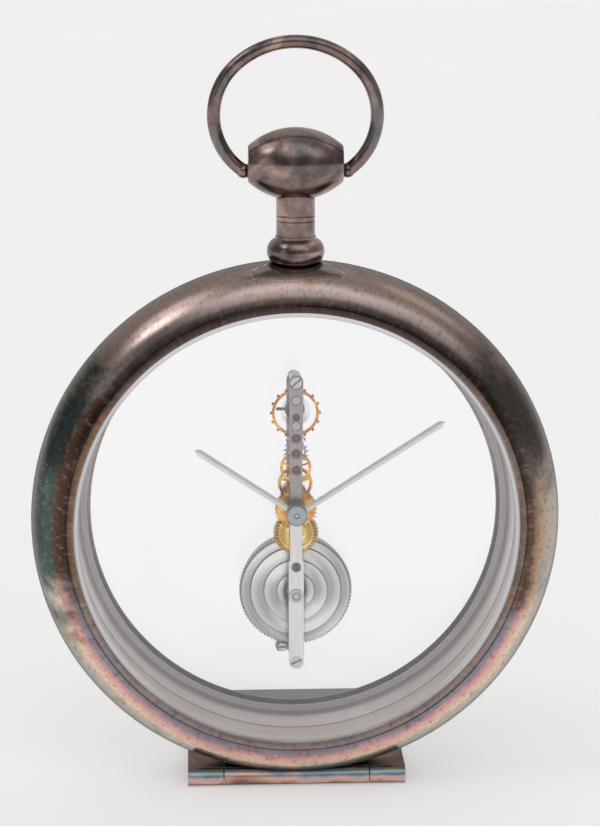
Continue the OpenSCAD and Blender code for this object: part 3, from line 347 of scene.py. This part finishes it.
def glass_pane(name):
    """Clear pane with a bevel that glows pale as a painted highlight, less towards the bottom, a faint cool
    painted glow in patches, and reflections at grazing angles.
    """
    g = Graph(name)
    radius, _ = g.around(CASE)
    normal = g.bump(g.noise(40.0, 2.0), 0.02, 0.3)
    fresnel = g.node("Fresnel", {"IOR": 1.45, "Normal": normal}).outputs[0]
    # Painted light: a faint cool glow in soft patches over the pane.
    glow_patches = g.noise(30.0, 4.0, 0.6, distortion=0.6)
    glow_strength = g.step(glow_patches, 0.3, 0.7, 0.020, 0.030)
    cool_glow = g.node("Emission", {"Color": (0.88, 0.87, 1.0, 1.0), "Strength": glow_strength})
    clear = g.node("BsdfTransparent", {"Color": (0.985, 0.985, 0.985, 1.0)}).outputs[0]
    clear = g.node("AddShader", {0: clear, 1: cool_glow.outputs[0]}).outputs[0]
    inputs = {"Roughness": 0.02, "Normal": normal, "Color": (1.0, 1.0, 1.0, 1.0)}
    shine = g.node("BsdfGlossy", inputs).outputs[0]
    mirror = g.math("MULTIPLY", fresnel, 0.8, clamp=True)
    pane = g.node("MixShader", {0: mirror, 1: clear, 2: shine}).outputs[0]
    # Painted highlight: the bevel glows in pale tones, fading towards the bottom.
    tone = g.ramp(g.step(radius, 59.5, 61.2), [
        (0.0, (0.55, 0.55, 0.57)), (0.14, (0.62, 0.62, 0.64)), (0.26, (0.92, 0.92, 0.94)),
        (0.70, (0.95, 0.95, 0.96)), (0.86, (0.50, 0.50, 0.50)), (1.0, (0.80, 0.80, 0.80))
    ])
    rim = g.node("Emission", {"Color": tone, "Strength": 0.62}).outputs[0]
    low = g.step(g.z, CASE.z / MM - 34.0, CASE.z / MM - 52.0, 1.0, 0.22)
    share = g.math("MULTIPLY", g.step(radius, 59.5, 59.75, 0.0, 0.62), low)
    mixed = g.node("MixShader", {0: share, 1: pane, 2: rim}).outputs[0]
    g.put(g.output.inputs["Surface"], mixed)
    return g.material


def gasket_rubber(name):
    g = Graph(name)
    grain = g.noise(0.4, 3.0, 0.6)
    base = g.ramp(grain, [(0.35, (0.70, 0.67, 0.65)), (0.65, (0.80, 0.78, 0.77))])
    g.metal(base, 0.65, g.bump(grain, 0.02, 0.4), metallic=0.0)
    return g.material


# Movement metals -----------------------------------------------------------

# Widths of the dished rings, and the height of the one dark screw, in millimetres
COVER_DISH = 3.7
WHEEL_DISH = 5.2
LOCK_SCREW_Z = 63.2

def grained_metal(name, colour, grain=0.35, roughness=0.3, stretch=0.06, edge=(0.95, 0.94, 0.92)):
    """Metal with fine lengthwise lines and bright worn edges."""
    g = Graph(name)
    lines = g.noise(grain, 3.0, 0.65, g.joined(g.x, g.y, g.math("MULTIPLY", g.z, stretch)))
    base = g.mix(g.step(lines, 0.35, 0.72, 0.0, 0.5), mottled(g, colour, 0.10, 8.0),
                 tuple(c * 0.72 for c in colour))
    rounded = g.rounded(0.12)
    base = g.mix(g.math("MULTIPLY", g.edges(rounded), 0.75), base, edge)
    rough = g.math("ADD", roughness - 0.06, g.math("MULTIPLY", lines, 0.14))
    g.metal(base, rough, g.bump(lines, 0.01, 0.35, rounded), painted_shade_reach=1.3)
    return g.material


def turned_metal(name, colour, centre, roughness=0.26, pitch=0.16, depth=0.3, anisotropy=0.6, dish=0.0):
    """Metal turned on a lathe: fine rings about an axis; on dished rings, crescents of painted highlight and
    painted shade stand for the light they catch.
    """
    g = Graph(name)
    radius, angle = g.around(centre)
    rings = g.noise(pitch, 3.0, 0.7, g.joined(radius, g.y, 0.0))
    base = g.mix(g.step(rings, 0.35, 0.75, 0.0, 0.32), mottled(g, colour, 0.08, 9.0),
                 tuple(c * 0.66 for c in colour))
    # Painted highlight and painted shade: crescents that brighten and darken with the angle round the axis.
    if dish:
        across = g.math("FRACT", g.math("DIVIDE", g.math("ADD", radius, 2.3), dish))
        twisted = g.math("ADD", angle, g.math("MULTIPLY", across, 0.7))
        turn = g.math("COSINE", g.math("MULTIPLY", twisted, 2.0))
        bright = g.math("MULTIPLY", g.step(turn, -0.2, 0.9), g.step(across, 0.1, 0.55))
        shaded = g.math("MULTIPLY", g.step(turn, 0.2, -0.9), g.step(across, 0.9, 0.35))
        base = g.mix(g.math("MULTIPLY", shaded, 0.62), base, tuple(c * 0.42 for c in colour))
        base = g.mix(g.math("MULTIPLY", bright, 0.7), base, (1.0, 0.99, 0.98))
    rounded = g.rounded(0.10)
    worn = tuple(min(1.0, c * 1.25 + 0.05) for c in colour)
    base = g.mix(g.math("MULTIPLY", g.edges(rounded), 0.5), base, worn)
    rough = g.math("ADD", roughness - 0.05, g.math("MULTIPLY", rings, 0.12))
    g.metal(base, rough, g.bump(rings, 0.01, depth, rounded), anisotropy, g.round_tangent(centre), painted_shade_reach=1.0)
    return g.material


def gilt_brass(name, colour, deep, roughness=0.24):
    """Gilt wheel: golden faces, painted shade in deep orange on the sides and between the teeth, bright
    edges.
    """
    g = Graph(name)
    grain = g.noise(0.5, 4.0, 0.6)
    clouds = g.noise(4.0, 3.0, 0.6)
    base = g.mix(g.step(clouds, 0.35, 0.65), deep, colour)
    # Painted shade: faces turned away from the front and back are pushed towards the deep colour.
    facing = g.node("NewGeometry", {}).outputs["Normal"]
    _, towards, _ = g.parts(facing)
    side_shade = g.step(g.math("ABSOLUTE", towards), 0.8, 0.3)
    base = g.mix(g.math("MULTIPLY", side_shade, 0.7), base, deep)
    rounded = g.rounded(0.06)
    base = g.mix(g.math("MULTIPLY", g.edges(rounded), 0.5), base, (1.0, 0.86, 0.50))
    rough = g.math("ADD", roughness - 0.05, g.math("MULTIPLY", grain, 0.14))
    g.metal(base, rough, g.bump(grain, 0.01, 0.35, rounded), painted_shade_reach=1.1)
    return g.material


def polished_steel(name, colour, roughness=0.14, edge=0.10, dark_height=None):
    """Polished steel with faint wiping marks; the piece at the dark height is left unpolished."""
    g = Graph(name)
    wipes = g.noise(0.9, 4.0, 0.65, g.vector("MULTIPLY", g.position, (1.0, 1.0, 0.3)))
    base = g.mix(g.step(wipes, 0.4, 0.7, 0.0, 0.3), colour, tuple(c * 0.7 for c in colour))
    rounded = g.rounded(edge)
    base = g.mix(g.math("MULTIPLY", g.edges(rounded), 0.6), base, (0.97, 0.97, 0.96))
    if dark_height is not None:
        above = g.math("ABSOLUTE", g.math("SUBTRACT", g.z, dark_height))
        base = g.mix(g.step(above, 2.6, 2.3), base, (0.12, 0.11, 0.105))
    rough = g.math("ADD", roughness, g.math("MULTIPLY", wipes, 0.10))
    g.metal(base, rough, g.bump(wipes, 0.008, 0.3, rounded), painted_shade_reach=0.9)
    return g.material


def jewel_stone(name, colour, deep):
    """Ruby: two depths of colour in soft clouds under a thin clear coat, with a faint painted glow."""
    g = Graph(name)
    depth = g.noise(0.7, 2.0, 0.5)
    base = g.mix(depth, deep, colour)
    # Painted light: a faint glow in the stone's own colour.
    inputs = {"Base Color": base, "Roughness": 0.22, "IOR": 1.5, "Coat Weight": 0.12, "Coat Roughness": 0.05,
              "Subsurface Weight": 0.15, "Subsurface Scale": 0.4 * MM, "Emission Color": base,
              "Emission Strength": 0.04}
    surface = g.node("BsdfPrincipled", inputs)
    g.put(g.output.inputs["Surface"], surface.outputs[0])
    return g.material


MATERIALS = {
    "ring": ring_metal("ring_metal"),
    "bezel": ring_metal("bezel_metal", -0.03),
    "pendant": pendant_metal("pendant_metal"),
    "foot": foot_metal("foot_metal"),
    "sleeve": sleeve_metal("sleeve_metal"),
    "glass": glass_pane("glass_pane"),
    "gasket": gasket_rubber("gasket_rubber"),
    "copper": polished_steel("copper_bushing", (0.55, 0.30, 0.13), 0.3),
    "pin": polished_steel("pin_steel", (0.50, 0.46, 0.43), 0.25),
    # The upper bridge is the same silver as the lower one, given a darker taupe as painted shade.
    "bar_upper": grained_metal("bar_taupe", (0.40, 0.36, 0.34), 0.5),
    "bar_lower": grained_metal("bar_silver", (0.82, 0.805, 0.785), 0.3, 0.28),
    "plate": grained_metal("plate_silver", (0.66, 0.64, 0.62), 0.4, 0.32),
    "screw": polished_steel("screw_steel", (0.58, 0.57, 0.56), 0.18, dark_height=LOCK_SCREW_Z),
    "steel": polished_steel("arbor_steel", (0.52, 0.52, 0.53), 0.16),
    "click": polished_steel("click_steel", (0.52, 0.48, 0.45), 0.2),
    "dark": polished_steel("dark_steel", (0.16, 0.155, 0.16), 0.25),
    "escape": polished_steel("escape_steel", (0.30, 0.29, 0.29), 0.2, 0.04),
    "blue": polished_steel("spring_steel", (0.46, 0.50, 0.58), 0.22, 0.02),
    "hand": grained_metal("hand_silver", (0.90, 0.885, 0.855), 0.25, 0.32, 0.4),
    "hub": turned_metal("hub_steel", (0.36, 0.41, 0.44), JOINTS["centre_turn"], 0.18),
    "gold": gilt_brass("wheel_gold", (0.93, 0.53, 0.10), (0.50, 0.17, 0.014)),
    "deep_gold": gilt_brass("wheel_deep_gold", (0.62, 0.36, 0.085), (0.36, 0.16, 0.03)),
    "bright_gold": turned_metal("wheel_bright_gold", (0.90, 0.56, 0.11), JOINTS["minute_work_turn"],
                                0.22, dish=WHEEL_DISH),
    "barrel": turned_metal("barrel_face", (0.68, 0.655, 0.64), JOINTS["barrel_turn"],
                           0.24, 0.2, 0.35, 0.7, COVER_DISH),
    "drum": turned_metal("barrel_drum", (0.42, 0.37, 0.35), JOINTS["barrel_turn"], 0.30),
    "key": gilt_brass("key_brass", (0.70, 0.50, 0.20), (0.42, 0.26, 0.08), 0.28),
    "ruby": jewel_stone("jewel_ruby", (0.36, 0.02, 0.105), (0.14, 0.004, 0.04)),
    "purple": jewel_stone("jewel_purple", (0.40, 0.06, 0.38), (0.15, 0.02, 0.16)),
}

LOOKS = {
    "ring": ["case_ring"],
    "bezel": ["front_bezel", "rear_bezel"],
    "pendant": ["pendant_collar", "pendant_neck", "crown", "bow"],
    "foot": ["case_lug", "foot_plate"],
    "sleeve": ["inner_sleeve"],
    "glass": ["front_glass", "rear_glass"],
    "gasket": ["gaskets"],
    "copper": ["bow_bushings"],
    "pin": ["pendant_stud", "hinge_pin", "steady_pins"],
    "bar_upper": ["train_bridge"],
    "bar_lower": ["barrel_bridge"],
    "plate": ["rear_plate", "pillars", "pallet_cock", "bridge_bushes"],
    "screw": ["bridge_screws", "mounting_screws", "click_screw"],
    "click": ["click", "click_spring"],
    "steel": [
        "barrel_arbor", "ratchet_wheel", "intermediate_pinion", "centre_arbor", "cannon_pinion",
        "third_pinion", "fourth_pinion", "escape_pinion", "pallet_fork", "balance_staff"
    ],
    "dark": ["regulator"],
    "escape": ["escape_wheel"],
    "blue": ["hairspring", "mainspring"],
    "hand": ["minute_hand", "hour_hand"],
    "hub": ["hand_nut"],
    "gold": ["centre_wheel", "hour_wheel", "third_wheel", "fourth_wheel", "balance_wheel", "balance_screws"],
    "deep_gold": ["intermediate_wheel"],
    "bright_gold": ["minute_wheel"],
    "barrel": ["barrel_cover"],
    "drum": ["barrel_drum"],
    "key": ["winding_key", "setting_knob"],
    "ruby": ["jewels", "impulse_jewel"],
    "purple": ["pallet_stones"],
}


def dress(piece, look):
    piece.data.materials.clear()
    piece.data.materials.append(MATERIALS[look])


def shade(piece, angle=30.0):
    """Smooth shading that stays crisp across edges sharper than the angle."""
    piece.data.shade_smooth()
    piece.data.set_sharp_from_angle(angle=math.radians(angle))


for look, names in LOOKS.items():
    for name in names:
        dress(frame["nodes"][name], look)
        shade(frame["nodes"][name])


# Studio --------------------------------------------------------------------

def studio_world():
    """Soft surroundings: even dim light, more of it overhead, and round soft lights in some directions."""
    world = bpy.data.worlds.new("studio")
    world.use_nodes = True
    tree = world.node_tree
    tree.nodes.clear()

    def node(kind, inputs, **settings):
        made = tree.nodes.new("ShaderNode" + kind)
        for key, value in settings.items():
            setattr(made, key, value)
        for key, value in inputs.items():
            if isinstance(value, bpy.types.NodeSocket):
                tree.links.new(value, made.inputs[key])
            else:
                made.inputs[key].default_value = value
        return made

    direction = node("TexCoord", {}).outputs["Generated"]
    height = node("SeparateXYZ", {0: direction}).outputs[2]

    def glow(towards, inner, outer, strength):
        """A round soft light in one direction, with its half-widths in degrees."""
        unit = Vector(towards).normalized()
        along = node("VectorMath", {0: direction, 1: tuple(unit)}, operation="DOT_PRODUCT").outputs[1]
        inputs = {"Value": along, "From Min": math.cos(math.radians(outer)),
                  "From Max": math.cos(math.radians(inner)), "To Min": 0.0, "To Max": strength}
        return node("MapRange", inputs, interpolation_type="SMOOTHSTEP").outputs[0]

    def total(values):
        result = values[0]
        for value in values[1:]:
            result = node("Math", {0: result, 1: value}, operation="ADD").outputs[0]
        return result

    overhead = node("MapRange", {"Value": height, "From Min": 0.45, "From Max": 0.95, "To Min": 0.0,
                                 "To Max": 0.22}, interpolation_type="SMOOTHSTEP").outputs[0]
    light = total([
        overhead,
        glow((0.0, -0.62, 0.78), 10.0, 30.0, 0.80),
        glow((0.54, -0.56, 0.63), 6.0, 22.0, 0.55),
        glow((-0.60, -0.31, 0.71), 3.0, 11.0, 2.60),
        glow((-0.57, -0.05, 0.82), 5.0, 17.0, 1.15),
        glow((0.62, 0.25, 0.74), 5.0, 17.0, 0.45),
        glow((-0.78, -0.62, 0.22), 5.0, 16.0, 0.40),
        glow((0.0, 1.0, 0.10), 35.0, 80.0, 0.35),
    ])
    ambient = node("Math", {0: light, 1: 0.24}, operation="ADD").outputs[0]
    seen = node("LightPath", {}).outputs["Is Camera Ray"]
    strength = node("Mix", {0: seen, 2: ambient, 3: 0.80}, data_type="FLOAT").outputs[0]
    background = node("Background", {"Color": (1.0, 0.995, 0.985, 1.0), "Strength": strength})
    output = node("OutputWorld", {})
    tree.links.new(background.outputs[0], output.inputs["Surface"])
    bpy.context.scene.world = world


def studio_floor():
    """Large pale floor under the foot."""
    g = Graph("studio_floor")
    tone = g.noise(400.0, 2.0, 0.5)
    base = g.ramp(tone, [(0.3, (0.795, 0.795, 0.795)), (0.7, (0.805, 0.805, 0.805))])
    inputs = {"Base Color": base, "Roughness": 0.9, "Specular IOR Level": 0.1, "Emission Color": base,
              "Emission Strength": 0.44}
    surface = g.node("BsdfPrincipled", inputs)
    g.put(g.output.inputs["Surface"], surface.outputs[0])
    mesh = bpy.data.meshes.new("floor")
    shape = bmesh.new()
    outline = ((-30, -30), (30, -30), (30, 60), (-30, 60))
    corners = [shape.verts.new((x, y, CAD_LOW.z - 0.02 * MM)) for x, y in outline]
    shape.faces.new(corners)
    shape.to_mesh(mesh)
    shape.free()
    floor = bpy.data.objects.new("floor", mesh)
    floor.data.materials.append(g.material)
    bpy.context.scene.collection.objects.link(floor)


def studio_camera():
    """Long lens a little above the clock, a touch left of its middle."""
    data = bpy.data.cameras.new("camera")
    data.lens = 104.94
    data.sensor_width = 36.0
    data.clip_start = 0.01
    data.clip_end = 100.0
    camera = bpy.data.objects.new("camera", data)
    bpy.context.scene.collection.objects.link(camera)
    azimuth = math.radians(-2.45)
    pitch = math.radians(13.31)
    target = CASE + Vector((1.18, 0.0, 30.45)) * MM
    level = Vector((math.sin(azimuth), -math.cos(azimuth), 0.0))
    back = level * math.cos(pitch) + Vector((0.0, 0.0, math.sin(pitch)))
    camera.location = target + back * 661.8 * MM
    camera.rotation_mode = "QUATERNION"
    camera.rotation_quaternion = (-back).to_track_quat("-Z", "Y")
    bpy.context.scene.camera = camera


studio_world()
studio_floor()
studio_camera()
bpy.context.scene.view_settings.view_transform = "Standard"
